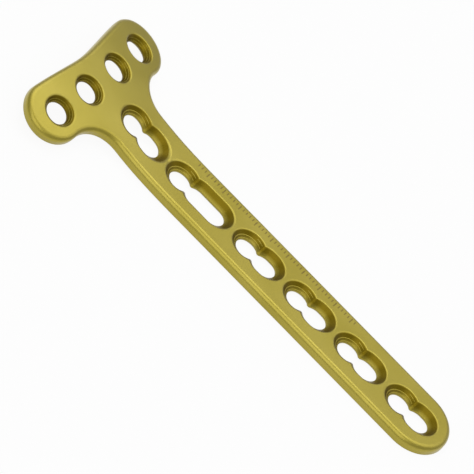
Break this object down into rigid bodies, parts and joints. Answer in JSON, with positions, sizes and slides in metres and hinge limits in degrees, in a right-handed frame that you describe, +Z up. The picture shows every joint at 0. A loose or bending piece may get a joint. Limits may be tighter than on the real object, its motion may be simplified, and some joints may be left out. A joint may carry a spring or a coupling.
{
  "type": "orthopedic bone plate",
  "caption": "T-shaped orthopedic locking plate: long flat shaft with combination screw holes, and a bent, arched head with a row of locking holes.",
  "frame": {"origin": "middle of the bounding box's underside, on the plane of the shaft's flat underside", "axes": "+Z up out of the shaft's flat top, +Y along the shaft towards the T head, +X across the plate"},
  "size_m": [0.0506, 0.1188, 0.0072],
  "materials": {
    "anodised_titanium": "satin anodised, gold to olive"
  },
  "bodies": {
    "root": {"bone_plate": "anodised_titanium"}
  },
  "joints": []
}
